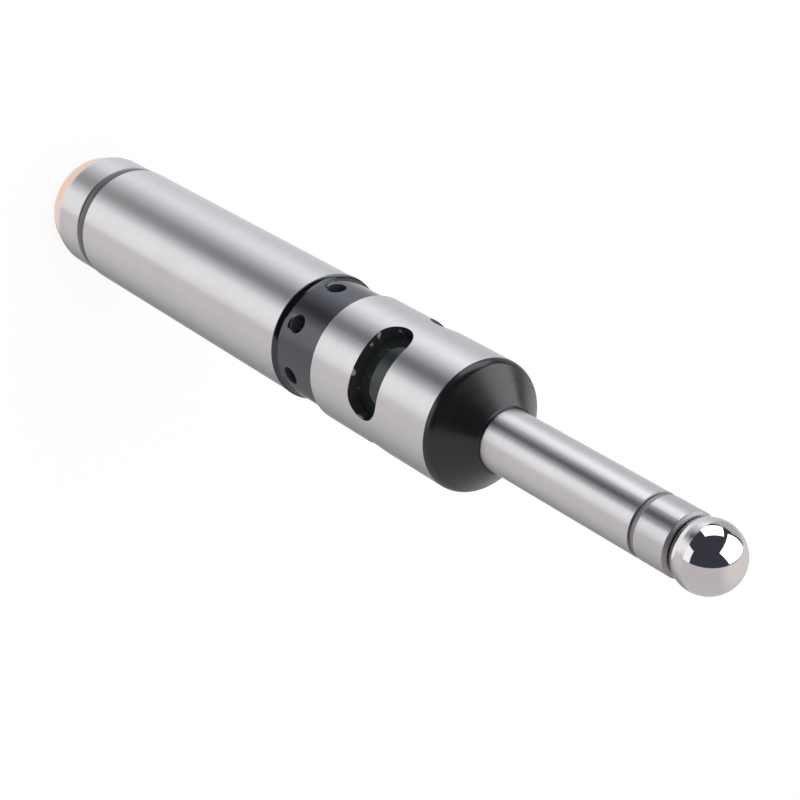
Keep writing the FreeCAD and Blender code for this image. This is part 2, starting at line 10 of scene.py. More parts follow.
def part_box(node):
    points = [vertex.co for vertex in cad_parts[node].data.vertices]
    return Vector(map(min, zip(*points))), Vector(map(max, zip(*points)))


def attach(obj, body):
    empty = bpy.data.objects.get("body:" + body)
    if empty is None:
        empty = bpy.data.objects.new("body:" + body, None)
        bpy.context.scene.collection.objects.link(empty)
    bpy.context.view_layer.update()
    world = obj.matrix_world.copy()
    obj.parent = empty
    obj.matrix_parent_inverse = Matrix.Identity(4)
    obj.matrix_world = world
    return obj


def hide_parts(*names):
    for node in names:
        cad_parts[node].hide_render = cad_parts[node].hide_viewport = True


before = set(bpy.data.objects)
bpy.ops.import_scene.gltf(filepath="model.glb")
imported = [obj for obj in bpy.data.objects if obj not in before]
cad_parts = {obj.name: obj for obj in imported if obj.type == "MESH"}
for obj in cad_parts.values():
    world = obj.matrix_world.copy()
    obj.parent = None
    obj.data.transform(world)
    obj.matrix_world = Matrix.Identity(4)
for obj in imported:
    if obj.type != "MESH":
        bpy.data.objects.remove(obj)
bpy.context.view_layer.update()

MM = 0.001
AXIS = Vector((0, 0, 1))
SIDES = 192
CUT_SIDES = 256
SMALL_SIDES = 48
MILL_SIDES = 64
ARC_STEPS = 48
CORNER_SEGMENTS = 4
SLOT_SEGMENTS = 6
SMOOTH_ANGLE = math.radians(35)


def span(node):
    """Bottom, top and radius of a turned CAD node, in millimetres."""
    low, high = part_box(node)
    return low.z / MM, high.z / MM, (high.x - low.x) / 2 / MM


cap_bottom, disc_top, disc_radius = span("cap_end_disc")
_, spigot_top, cap_radius = span("battery_cap")
cap_top, shank_bottom, seal_radius = span("cap_seal")
_, shank_top, shank_radius = span("shank")
ring_tail, ring_nose, flange_radius = span("sound_ring")
sleeve_bottom, sleeve_top, _ = span("body_sleeve")
_, nose_tip, sleeve_radius = span("nose_cone")
tube_bottom, tube_top, _ = span("window_tube")
stylus_tail, stylus_end, stylus_radius = span("stylus_tube")
seat_tail, seat_face, _ = span("ball_seat")
_, ball_top, ball_radius = span("ball")


# Mesh helpers.

def section_mesh(corners):
    """Half section of a turned piece in the XZ plane: corners are (radius, height, rounding) in mm."""
    mesh = bmesh.new()
    points = [mesh.verts.new((radius * MM, 0, height * MM)) for radius, height, _ in corners]
    mesh.faces.new(points)
    for point, (_, _, rounding) in zip(points, corners):
        if rounding:
            bmesh.ops.bevel(mesh, geom=[point], offset=rounding * MM, offset_type="OFFSET",
                            segments=CORNER_SEGMENTS, profile=0.5, affect="VERTICES", material=-1)
    return mesh


def spin_section(mesh, sides):
    """Sweep the half section once round Z and close it."""
    bmesh.ops.delete(mesh, geom=mesh.faces[:], context="FACES_ONLY")
    on_axis = [edge for edge in mesh.edges if all(abs(vert.co.x) < 1e-9 for vert in edge.verts)]
    bmesh.ops.delete(mesh, geom=on_axis, context="EDGES")
    bmesh.ops.spin(mesh, geom=mesh.verts[:] + mesh.edges[:], cent=(0, 0, 0), axis=AXIS,
                   angle=math.tau, steps=sides, use_merge=True)
    bmesh.ops.remove_doubles(mesh, verts=mesh.verts[:], dist=1e-7)
    bmesh.ops.recalc_face_normals(mesh, faces=mesh.faces[:])
    return mesh


def turned(corners, sides=SIDES):
    """Turn a piece on the lathe from its half section."""
    return spin_section(section_mesh(corners), sides)


def paint_shade_between(mesh, low, high, index=1):
    """Give the faces between two heights, in millimetres, another of the piece's materials; each use here
    puts on a darker copy as painted shade.
    """
    for face in mesh.faces:
        if low * MM < face.calc_center_median().z < high * MM:
            face.material_index = index
    return mesh


def shade(made):
    """Smooth a piece but for its sharp edges; walls keep true normals beside small bevels."""
    made.data.shade_smooth()
    made.data.set_sharp_from_angle(angle=SMOOTH_ANGLE)
    normals = made.modifiers.new("wall_normals", "WEIGHTED_NORMAL")
    normals.mode = "FACE_AREA"
    normals.weight = 50
    normals.keep_sharp = True
    return made


def make_object(name, mesh, *materials):
    """Put a mesh on a new object with its materials."""
    data = bpy.data.meshes.new(name)
    mesh.to_mesh(data)
    mesh.free()
    for material in materials:
        data.materials.append(material)
    made = bpy.data.objects.new(name, data)
    bpy.context.scene.collection.objects.link(made)
    return shade(made)


def add_piece(made, body, slot, *nodes):
    """Let a piece ride on its body and stand for its CAD nodes."""
    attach(made, body)
    if nodes:
        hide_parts(*nodes)
    return made


def cut_away(made, cutters):
    """Cut tools out of a piece; cut faces take the tool's material."""
    made.modifiers.clear()
    for cutter in cutters:
        modifier = made.modifiers.new("cut", "BOOLEAN")
        modifier.operation = "DIFFERENCE"
        modifier.solver = "EXACT"
        modifier.material_mode = "TRANSFER"
        modifier.object = cutter
    graph = bpy.context.evaluated_depsgraph_get()
    result = bpy.data.meshes.new_from_object(made.evaluated_get(graph), depsgraph=graph)
    made.modifiers.clear()
    made.data = result
    for cutter in cutters:
        bpy.data.objects.remove(cutter)
    return shade(made)


# Node helpers.

def add_node(tree, kind, inputs=None, **properties):
    """Add a shader node, set its properties, and fill or link its inputs."""
    made = tree.nodes.new(kind)
    for name, value in properties.items():
        setattr(made, name, value)
    for key, value in (inputs or {}).items():
        if isinstance(value, bpy.types.NodeSocket):
            tree.links.new(value, made.inputs[key])
        else:
            made.inputs[key].default_value = value
    return made


def calculate(tree, operation, *values):
    """One Math node's result."""
    made = add_node(tree, "ShaderNodeMath", dict(enumerate(values)), operation=operation)
    return made.outputs[0]


def along(tree, direction, axis):
    """How far a direction points along a fixed axis."""
    made = add_node(tree, "ShaderNodeVectorMath", {0: direction, 1: axis}, operation="DOT_PRODUCT")
    return made.outputs["Value"]


def fade(tree, value, start, end, low=0.0, high=1.0):
    """A value eased from low at start to high at end."""
    made = add_node(tree, "ShaderNodeMapRange",
                    {"Value": value, "From Min": start, "From Max": end, "To Min": low, "To Max": high},
                    interpolation_type="SMOOTHSTEP")
    return made.outputs["Result"]


def mix_colour(tree, share, first, second, blend="MIX"):
    """Two colours mixed by a share."""
    made = add_node(tree, "ShaderNodeMix", data_type="RGBA", blend_type=blend)
    factor, start, end = made.inputs[0], made.inputs[6], made.inputs[7]
    for socket, value in ((factor, share), (start, first), (end, second)):
        if isinstance(value, bpy.types.NodeSocket):
            tree.links.new(value, socket)
        elif socket is factor:
            socket.default_value = value
        else:
            socket.default_value = (*value, 1)
    return made.outputs[2]


def new_group(name, inputs, outputs):
    """Start a shader node group; inputs and outputs are (name, socket type, value)."""
    group = bpy.data.node_groups.new(name, "ShaderNodeTree")
    for label, kind, value in inputs:
        socket = group.interface.new_socket(name=label, in_out="INPUT", socket_type=kind)
        socket.default_value = value
    for label, kind in outputs:
        group.interface.new_socket(name=label, in_out="OUTPUT", socket_type=kind)
    start = group.nodes.new("NodeGroupInput")
    end = group.nodes.new("NodeGroupOutput")
    return group, start, end


def use_group(tree, group, **values):
    """Place a node group in a material with its own values."""
    made = tree.nodes.new("ShaderNodeGroup")
    made.node_tree = group
    for name, value in values.items():
        made.inputs[name.replace("_", " ").title()].default_value = value
    return made


LINE_SHARE = 0.6
PATCH_SCALE = 90.0
WAVE_SCALE = 240.0
WAVE_HEIGHT = 2.5
WEAR_START, WEAR_FULL = 0.35, 0.65


def make_turning_marks():
    """Fine lines round the axis, as a grinding wheel or a lathe tool leaves them."""
    group, start, end = new_group(
        "turning_marks",
        [("Lines Per Metre", "NodeSocketFloat", 3000.0), ("Break Up", "NodeSocketFloat", 8.0)],
        [("Lines", "NodeSocketFloat"), ("Wear", "NodeSocketFloat"), ("Relief", "NodeSocketFloat")],
    )
    place = add_node(group, "ShaderNodeTexCoord").outputs["Object"]
    parts = add_node(group, "ShaderNodeSeparateXYZ", {0: place})
    across = calculate(group, "MULTIPLY", parts.outputs["X"], start.outputs["Break Up"])
    depth = calculate(group, "MULTIPLY", parts.outputs["Y"], start.outputs["Break Up"])
    height = calculate(group, "MULTIPLY", parts.outputs["Z"], start.outputs["Lines Per Metre"])
    stretched = add_node(group, "ShaderNodeCombineXYZ", {"X": across, "Y": depth, "Z": height})
    lines = add_node(group, "ShaderNodeTexNoise",
                     {"Vector": stretched.outputs[0], "Scale": 1.0, "Detail": 3.0, "Roughness": 0.6})
    patches = add_node(group, "ShaderNodeTexNoise",
                       {"Vector": place, "Scale": PATCH_SCALE, "Detail": 4.0, "Roughness": 0.55})
    both = calculate(group, "MULTIPLY_ADD", lines.outputs["Fac"], LINE_SHARE,
                     calculate(group, "MULTIPLY", patches.outputs["Fac"], 1 - LINE_SHARE))
    waves = add_node(group, "ShaderNodeTexNoise", {"Vector": place, "Scale": WAVE_SCALE, "Detail": 2.0})
    relief = calculate(group, "MULTIPLY_ADD", waves.outputs["Fac"], WAVE_HEIGHT, lines.outputs["Fac"])
    group.links.new(relief, end.inputs["Relief"])
    group.links.new(lines.outputs["Fac"], end.inputs["Lines"])
    group.links.new(fade(group, both, WEAR_START, WEAR_FULL), end.inputs["Wear"])
    return group


turning_marks = make_turning_marks()
LINE_LOW, LINE_HIGH = 0.2, 0.8
# Grey flecks on the black window walls: painted glints.
GLINT_SCALE = 640.0
GLINT_START, GLINT_FULL = 0.68, 0.78
GLINT_GREY = (0.3, 0.3, 0.31)


def start_material(name, **constants):
    """A new material and its shader, with what is the same all over set on its sockets."""
    material = bpy.data.materials.new(name)
    material.use_nodes = True
    tree = material.node_tree
    shader = tree.nodes["Principled BSDF"]
    for label, value in constants.items():
        shader.inputs[label.replace("_", " ")].default_value = value
    return material, tree, shader


def machined(name, colour, second, roughness, marks, relief, painted_sheen=None, **constants):
    """A turned or ground surface: lines round the axis and slow patches in colour and gloss.

    A painted sheen (colour, bottom, top) tints the surface towards its lower end, in millimetres: a
    painted reflection, not the metal's own colour."""
    material, tree, shader = start_material(name, **constants)
    texture = use_group(tree, turning_marks, **marks)
    lines, wear = texture.outputs["Lines"], texture.outputs["Wear"]
    tint = mix_colour(tree, wear, colour, second)
    # Painted reflection: the colour eases into the sheen colour below the top height.
    if painted_sheen:
        sheen_colour, bottom, top = painted_sheen
        place = add_node(tree, "ShaderNodeTexCoord").outputs["Object"]
        height = add_node(tree, "ShaderNodeSeparateXYZ", {0: place}).outputs["Z"]
        tint = mix_colour(tree, fade(tree, height, bottom * MM, top * MM), sheen_colour, tint)
    dullness = fade(tree, lines, LINE_LOW, LINE_HIGH, *roughness)
    bump = add_node(tree, "ShaderNodeBump",
                    {"Strength": 1.0, "Distance": relief * MM, "Height": texture.outputs["Relief"]})
    tree.links.new(tint, shader.inputs["Base Color"])
    tree.links.new(dullness, shader.inputs["Roughness"])
    tree.links.new(bump.outputs["Normal"], shader.inputs["Normal"])
    return material


def black_with_painted_glints(name, *finish, **constants):
    """Black with small grey flecks that are painted glints."""
    material = machined(name, *finish, **constants)
    tree = material.node_tree
    shader = tree.nodes["Principled BSDF"]
    black = shader.inputs["Base Color"].links[0].from_socket
    place = add_node(tree, "ShaderNodeTexCoord").outputs["Object"]
    # Grey painted glints mixed into the black by a noise.
    flecks = add_node(tree, "ShaderNodeTexNoise", {"Vector": place, "Scale": GLINT_SCALE, "Detail": 0.0})
    share = fade(tree, flecks.outputs["Fac"], GLINT_START, GLINT_FULL)
    tree.links.new(mix_colour(tree, share, black, GLINT_GREY), shader.inputs["Base Color"])
    return material


# Finishes: colours as linear light, roughness from line to line, marks, and relief in millimetres.
FINE = {"lines_per_metre": 3000.0, "break_up": 8.0}
COARSE = {"lines_per_metre": 1500.0, "break_up": 60.0}
EVEN = {"lines_per_metre": 600.0, "break_up": 600.0}
GROUND = {"Metallic": 1.0, "Anisotropic": 0.8, "Anisotropic_Rotation": 0.25}
GROUND_ROUGHNESS = (0.18, 0.23)
RELIEF = 0.0008
ROUGH_RELIEF = 0.001
SATIN_RELIEF = 0.0006
WINDOW_WALL_RELIEF = 0.0004
GLOSSY_RELIEF = 0.0003
GLASS_RELIEF = 0.00005
POLISHED_RELIEF = 0.00002
STEEL = (0.77, 0.765, 0.772)
WORN_STEEL = (0.73, 0.724, 0.732)
COPPER = (0.88, 0.61, 0.45)
# Copper tint painted on the cap's steel next to the copper disc, between these heights: a painted
# reflection of the disc.
PAINTED_COPPER_SHEEN = (0.84, 0.57, 0.42)
CAP_CHAMFER_TOP = 3.7
SHEEN_START, SHEEN_END = disc_top + 0.6, CAP_CHAMFER_TOP + 0.7

ground_steel = machined("ground_steel", STEEL, WORN_STEEL, GROUND_ROUGHNESS, FINE, RELIEF, **GROUND)
# The cap's ground steel, with the painted copper reflection at its lower end.
cap_steel = machined("cap_steel", STEEL, WORN_STEEL, GROUND_ROUGHNESS, FINE, RELIEF,
                     painted_sheen=(PAINTED_COPPER_SHEEN, SHEEN_START, SHEEN_END), **GROUND)
hardened_steel = machined("hardened_steel", (0.71, 0.71, 0.725), (0.67, 0.67, 0.685), GROUND_ROUGHNESS,
                          FINE, RELIEF, **GROUND)
# Matt steel, far darker than STEEL: the roughness is the matt finish, the dark colour is painted shade for
# grooves, chamfers and edges where parts meet.
matt_steel_painted_shade = machined("matt_steel_painted_shade", (0.43, 0.42, 0.435), (0.38, 0.372, 0.385), (0.5, 0.6), FINE, RELIEF,
                      Metallic=1.0)
polished_steel = machined("polished_steel", (0.8, 0.785, 0.785), (0.77, 0.76, 0.765), (0.02, 0.045), EVEN,
                          POLISHED_RELIEF, Metallic=1.0)
spring_steel = machined("spring_steel", (0.62, 0.6, 0.57), (0.55, 0.53, 0.5), (0.2, 0.3), EVEN,
                        SATIN_RELIEF, Metallic=1.0)
copper = machined("copper_disc", COPPER, (0.83, 0.58, 0.43), (0.24, 0.34), FINE, RELIEF, Metallic=1.0)
brass = machined("brass", (0.82, 0.62, 0.3), (0.74, 0.54, 0.24), (0.25, 0.38), FINE, ROUGH_RELIEF,
                 Metallic=1.0)
black_oxide = machined("black_oxide", (0.13, 0.135, 0.152), (0.12, 0.125, 0.142), (0.09, 0.14), FINE,
                       GLOSSY_RELIEF, Metallic=1.0)
# A darker copy of the black oxide for the flange and its slope: painted shade.
flange_black_painted_shade = machined("flange_black_painted_shade", (0.09, 0.093, 0.105), (0.082, 0.085, 0.097), (0.12, 0.18), FINE,
                        GLOSSY_RELIEF, Metallic=1.0)
# Dull black for the walls and rims of the sound holes: painted shade in the holes.
hole_black_painted_shade = machined("hole_black_painted_shade", (0.05, 0.052, 0.06), (0.035, 0.036, 0.042), (0.3, 0.4), FINE,
                         RELIEF, IOR=1.6)
black_nose = machined("black_nose", (0.005, 0.005, 0.0065), (0.008, 0.008, 0.0095), (0.2, 0.28), FINE,
                      RELIEF, IOR=1.6)
# Black inside the windows, with grey flecks that are painted glints.
window_black = black_with_painted_glints("window_black", (0.021, 0.019, 0.021), (0.026, 0.024, 0.026), (0.1, 0.16), COARSE,
                       WINDOW_WALL_RELIEF, IOR=1.6)
seal_rubber = machined("seal_rubber", (0.045, 0.045, 0.05), (0.06, 0.06, 0.065), (0.3, 0.4), COARSE,
                       ROUGH_RELIEF, IOR=1.9)
battery_can = machined("battery_can", (0.05, 0.052, 0.06), (0.07, 0.07, 0.08), (0.25, 0.35), COARSE,
                       SATIN_RELIEF, Coat_Weight=0.5)
insulation = machined("insulation", (0.72, 0.7, 0.64), (0.66, 0.64, 0.58), (0.45, 0.6), COARSE,
                      ROUGH_RELIEF)
board_green = machined("board_green", (0.02, 0.12, 0.05), (0.03, 0.15, 0.06), (0.3, 0.45), EVEN,
                       ROUGH_RELIEF)
part_black = machined("part_black", (0.02, 0.02, 0.021), (0.03, 0.03, 0.031), (0.35, 0.5), COARSE,
                      ROUGH_RELIEF)
lamp_red = machined("lamp_red", (0.5, 0.012, 0.01), (0.42, 0.01, 0.01), (0.08, 0.14), EVEN,
                    GLOSSY_RELIEF, Transmission_Weight=0.5)
smoked_tube = machined("smoked_tube", (0.034, 0.047, 0.045), (0.029, 0.041, 0.039), (0.03, 0.06), EVEN,
                       GLASS_RELIEF, IOR=1.6, Transmission_Weight=0.5)


# Battery cap, end disc and seal.

EDGE = 0.25
FINE_EDGE = 0.05
FIT_GAP = 0.05
TOOL_MARGIN = 1.0
CAP_CHAMFER_DEPTH = 1.19
CAP_TOP_CHAMFER = 0.3
SPIGOT_RADIUS = 7.0
CAP_RECESS_RADIUS = 5.35
CAP_FLOOR = 5.5
SLOT_LENGTH = 11.0
SLOT_WIDTH = 2.0
SLOT_DEPTH = 1.7
SLOT_END_ROUNDING = 0.9
THREAD_PITCH = 1.0
THREAD_DEPTH = 0.55
THREAD_STEPS = 64
THREAD_RUN_OUT = 0.5


def make_cap():
    """The cap's head with its end chamfer, the matt chamfer at the seal darkened as painted shade, and the
    hollow spigot.
    """
    cap = turned([
        (0, disc_top, 0),
        (disc_radius, disc_top, 0),
        (cap_radius, CAP_CHAMFER_TOP, 0.6),
        (cap_radius, cap_top - CAP_TOP_CHAMFER, FINE_EDGE),
        (cap_radius - CAP_TOP_CHAMFER, cap_top, 0),
        (SPIGOT_RADIUS - THREAD_DEPTH, cap_top, 0),
        (SPIGOT_RADIUS - THREAD_DEPTH, spigot_top, 0.3),
        (CAP_RECESS_RADIUS, spigot_top, 0),
        (CAP_RECESS_RADIUS, CAP_FLOOR, 0.4),
        (0, CAP_FLOOR, 0),
    ])
    # The chamfer at the seal takes the darker matt steel: painted shade in the groove.
    paint_shade_between(cap, cap_top - CAP_TOP_CHAMFER, cap_top)
    return add_piece(make_object("battery_cap_turned", cap, cap_steel, matt_steel_painted_shade), "cap", "ground_steel",
                     "battery_cap")


def make_cap_disc():
    """The thin copper disc on the cap's end, with its coin slot."""
    foot_radius = cap_radius - CAP_CHAMFER_DEPTH
    disc = make_object("cap_disc_turned", turned([
        (0, cap_bottom, 0),
        (foot_radius, cap_bottom, EDGE),
        (disc_radius, disc_top, 0),
        (0, disc_top, 0),
    ]), copper)
    slot = bmesh.new()
    bmesh.ops.create_cube(slot, size=MM,
                          matrix=Matrix.Diagonal((SLOT_LENGTH, SLOT_WIDTH, 2 * SLOT_DEPTH, 1)))
    upright = [edge for edge in slot.edges if abs(edge.verts[0].co.z - edge.verts[1].co.z) > MM]
    bmesh.ops.bevel(slot, geom=upright, offset=SLOT_END_ROUNDING * MM, offset_type="OFFSET",
                    segments=SLOT_SEGMENTS, profile=0.5, affect="EDGES", material=-1)
    cut_away(disc, [make_object("coin_slot", slot, copper)])
    return add_piece(disc, "cap", "copper_disc", "cap_end_disc")


def make_cap_thread():
    """The cap's screw thread: one ridge wound up the spigot."""
    root = SPIGOT_RADIUS - THREAD_DEPTH - FIT_GAP
    foot_width, crest_bottom, crest_top = 0.88, 0.38, 0.5
    turns = int((spigot_top - cap_top - 2 * THREAD_RUN_OUT) / THREAD_PITCH)
    bottom = cap_top + THREAD_RUN_OUT
    mesh = bmesh.new()
    outline = [(root, 0), (root, foot_width), (SPIGOT_RADIUS, crest_top), (SPIGOT_RADIUS, crest_bottom)]
    ridge = mesh.faces.new([mesh.verts.new((radius * MM, 0, (bottom + height) * MM))
                            for radius, height in outline])
    end = bmesh.ops.spin(mesh, geom=list(ridge.verts) + list(ridge.edges), cent=(0, 0, 0), axis=AXIS,
                         dvec=(0, 0, THREAD_PITCH / THREAD_STEPS * MM), angle=math.tau * turns,
                         steps=THREAD_STEPS * turns)
    last = [item for item in end["geom_last"] if isinstance(item, bmesh.types.BMEdge)]
    bmesh.ops.contextual_create(mesh, geom=last)
    bmesh.ops.recalc_face_normals(mesh, faces=mesh.faces[:])
    return add_piece(make_object("cap_thread", mesh, ground_steel), "cap", "ground_steel")


def make_seal():
    """The dark ring in the groove between the cap and the shank."""
    inside = SPIGOT_RADIUS + FIT_GAP
    return add_piece(make_object("cap_seal_turned", turned([
        (inside, cap_top, 0.1),
        (seal_radius, cap_top, 0.15),
        (seal_radius, shank_bottom, 0.15),
        (inside, shank_bottom, 0.1),
    ]), seal_rubber), "cap_carrier", "seal_rubber", "cap_seal")


# Shank, sounder ring, sleeve and nose.

SOCKET_RADIUS = 7.05
SOCKET_TOP = 20.57
SHANK_BORE = 6.2
SHANK_CHAMFER = 0.35
RING_TAIL_RADIUS = 8.0
FLANGE_BREAK = 0.15
FLANGE_TOP = 0.2
SLOPE_TOP = 0.78
SLOPE_COVE = 0.4
BAND_RADIUS = 9.5
RING_BORE = 6.05
RING_LIP = 5.4
RING_LIP_HEIGHT = 2.6
HOLE_RADIUS = 1.45
HOLE_RIM = 0.1
HOLE_HEIGHT = 3.75
HOLE_COUNT = 7
HOLE_TURN = math.radians(-0.7)
INNER_RADIUS = 8.0
SLEEVE_BORE = INNER_RADIUS + FIT_GAP
TUBE_WALL = 0.9
WINDOW_COUNT = 3
WINDOW_WIDTH = 6.62
WINDOW_SPAN = math.radians(91.4)
WINDOW_SETBACK = 14.18
STYLUS_TAIL_RADIUS = 3.5
STYLUS_SHOULDER = 3.3
window_height = sleeve_top - WINDOW_SETBACK
stylus_seat = nose_tip - STYLUS_SHOULDER


def make_shank():
    """The ground shank, with its two sockets."""
    return add_piece(make_object("shank_turned", turned([
        (SOCKET_RADIUS, shank_bottom, 0.2),
        (shank_radius - SHANK_CHAMFER, shank_bottom, 0),
        (shank_radius, shank_bottom + SHANK_CHAMFER, FINE_EDGE),
        (shank_radius, shank_top, FINE_EDGE),
        (RING_TAIL_RADIUS + FIT_GAP, shank_top, 0),
        (RING_TAIL_RADIUS + FIT_GAP, ring_tail, 0),
        (SHANK_BORE, ring_tail, 0),
        (SHANK_BORE, SOCKET_TOP, 0),
        (SOCKET_RADIUS, SOCKET_TOP, 0),
    ]), ground_steel), "housing", "ground_steel", "shank")


def face_outwards(mesh, height, turn):
    """Lay a piece that was turned about Z along -Y at a height, then turn it round the axis."""
    lay = Matrix.Rotation(math.radians(90), 4, "X")
    mesh.transform(Matrix.Rotation(turn, 4, "Z") @ Matrix.Translation((0, 0, height * MM)) @ lay)
    return mesh


def make_sound_ring():
    """The black ring: flange, coved slope, band and a row of drilled holes; the flange and slope take a
    darker black and the holes a dull black, both painted shade.
    """
    ring = turned([
        (RING_LIP, ring_tail, 0),
        (RING_TAIL_RADIUS, ring_tail, 0.2),
        (RING_TAIL_RADIUS, shank_top, 0),
        (flange_radius - FLANGE_BREAK, shank_top, 0),
        (flange_radius, shank_top + FLANGE_BREAK, 0.04),
        (flange_radius, shank_top + FLANGE_TOP, 0.03),
        (BAND_RADIUS, shank_top + SLOPE_TOP, SLOPE_COVE),
        (BAND_RADIUS, sleeve_bottom, 0.06),
        (INNER_RADIUS, sleeve_bottom, 0),
        (INNER_RADIUS, ring_nose, 0),
        (RING_BORE, ring_nose, 0),
        (RING_BORE, ring_tail + RING_LIP_HEIGHT, 0),
        (RING_LIP, ring_tail + RING_LIP_HEIGHT, 0),
    ], CUT_SIDES)
    # Flange and slope take the darker black: painted shade between shank and band.
    paint_shade_between(ring, shank_top, shank_top + SLOPE_TOP + SLOPE_COVE / 2)
    ring = make_object("sound_ring_turned", ring, black_oxide, flange_black_painted_shade)
    rim_start = BAND_RADIUS - HOLE_RIM
    inside, outside = RING_BORE - TOOL_MARGIN, BAND_RADIUS + TOOL_MARGIN
    drills = []
    for number in range(HOLE_COUNT):
        drill = turned([
            (0, inside, 0),
            (HOLE_RADIUS, inside, 0),
            (HOLE_RADIUS, rim_start, 0.04),
            (HOLE_RADIUS + outside - rim_start, outside, 0),
            (0, outside, 0),
        ], SMALL_SIDES)
        face_outwards(drill, shank_top + HOLE_HEIGHT, HOLE_TURN + math.tau * number / HOLE_COUNT)
        # Each drill's dull black goes onto its hole's walls and rim: painted shade.
        drills.append(make_object(f"sound_hole_{number + 1}", drill, hole_black_painted_shade))
    cut_away(ring, drills)
    return add_piece(ring, "housing", "black_oxide", "sound_ring")


def window_tools(turn):
    """Tools for one window: the middle by an arc, and each rounded end by an end mill."""
    half = WINDOW_WIDTH / 2
    outside, inside = sleeve_radius + TOOL_MARGIN, SLEEVE_BORE - TOOL_MARGIN
    straight = WINDOW_SPAN - 2 * half / sleeve_radius
    middle = section_mesh([(inside, window_height - half, 0), (outside, window_height - half, 0),
                           (outside, window_height + half, 0), (inside, window_height + half, 0)])
    start = Matrix.Rotation(turn - math.radians(90) - straight / 2, 4, "Z")
    middle.transform(start)
    bmesh.ops.spin(middle, geom=middle.verts[:] + middle.edges[:] + middle.faces[:], cent=(0, 0, 0),
                   axis=AXIS, angle=straight, steps=ARC_STEPS)
    bmesh.ops.recalc_face_normals(middle, faces=middle.faces[:])
    tools = [make_object("window_middle", middle, window_black)]
    for side in (-1, 1):
        mill = turned([(0, inside, 0), (half, inside, 0), (half, outside, 0), (0, outside, 0)], MILL_SIDES)
        face_outwards(mill, window_height, turn + straight / 2 * side)
        tools.append(make_object("window_end", mill, window_black))
    return tools


def make_sleeve():
    """The ground sleeve, with three round-ended windows that are black inside."""
    sleeve = make_object("body_sleeve_turned", turned([
        (SLEEVE_BORE, sleeve_bottom, 0),
        (sleeve_radius, sleeve_bottom, FINE_EDGE),
        (sleeve_radius, sleeve_top, FINE_EDGE),
        (SLEEVE_BORE, sleeve_top, 0),
    ], CUT_SIDES), ground_steel)
    tools = []
    for number in range(WINDOW_COUNT):
        tools += window_tools(math.tau * number / WINDOW_COUNT)
    cut_away(sleeve, tools)
    return add_piece(sleeve, "housing", "ground_steel", "body_sleeve")


def make_window_tube():
    """The smoked tube behind the windows."""
    return add_piece(make_object("window_tube_turned", turned([
        (INNER_RADIUS - TUBE_WALL, tube_bottom, 0.1),
        (INNER_RADIUS, tube_bottom, 0.1),
        (INNER_RADIUS, tube_top, 0.1),
        (INNER_RADIUS - TUBE_WALL, tube_top, 0.1),
    ]), smoked_tube), "housing", "smoked_tube", "window_tube")


def make_nose():
    """The black insulating cone and the tail that holds the stylus."""
    tail_hole, stylus_hole = STYLUS_TAIL_RADIUS + FIT_GAP, stylus_radius + FIT_GAP
    rim_length, rim_rounding, tip_width = 0.9, 0.8, 0.35
    return add_piece(make_object("nose_cone_turned", turned([
        (tail_hole, tube_top, 0),
        (INNER_RADIUS, tube_top, 0),
        (INNER_RADIUS, sleeve_top, 0),
        (sleeve_radius, sleeve_top, 0.04),
        (sleeve_radius, sleeve_top + rim_length, rim_rounding),
        (stylus_radius + tip_width, nose_tip, 0.15),
        (stylus_hole, nose_tip, 0),
        (stylus_hole, stylus_seat, 0),
        (tail_hole, stylus_seat, 0),
    ]), black_nose), "housing", "black_nose", "nose_cone")


def make_lamps():
    """Red lamps behind the smoked tube: domed barrels with a rim."""
    core, barrel_radius, barrel_length = 4.4, 1.5, 1.8
    rim_radius, rim_length = barrel_radius + 0.3, 0.5
    dome_tip, dome_rounding = 6.1, 1.45
    for number in range(WINDOW_COUNT):
        lamp = turned([
            (0, core - barrel_length, 0),
            (barrel_radius, core - barrel_length, 0),
            (barrel_radius, core, 0),
            (rim_radius, core, 0),
            (rim_radius, core + rim_length, 0.1),
            (barrel_radius, core + rim_length, 0),
            (barrel_radius, dome_tip, dome_rounding),
            (0, dome_tip, 0),
        ], SMALL_SIDES)
        face_outwards(lamp, window_height, math.tau * number / WINDOW_COUNT)
        name = f"lamp_{number + 1}"
        add_piece(make_object(name + "_domed", lamp, lamp_red), "housing", "lamp_red", name)


# Stylus, ball seat and ball.

def make_stylus():
    """The thin ground stylus tube."""
    bore, bore_start = 2.4, 103.02
    end_edge = 0.08
    stylus = turned([
        (0, stylus_tail, 0),
        (STYLUS_TAIL_RADIUS, stylus_tail, EDGE),
        (STYLUS_TAIL_RADIUS, stylus_seat, 0),
        (stylus_radius, stylus_seat, 0),
        (stylus_radius, stylus_end, end_edge),
        (bore, stylus_end, 0),
        (bore, bore_start, 0),
        (0, bore_start, 0),
    ])
    # The end edge takes the darker matt steel: painted shade where the stylus meets the collar.
    paint_shade_between(stylus, stylus_end - end_edge, stylus_end + end_edge)
    return add_piece(make_object("stylus_turned", stylus, ground_steel, matt_steel_painted_shade), "housing",
                     "ground_steel", "stylus_tube")


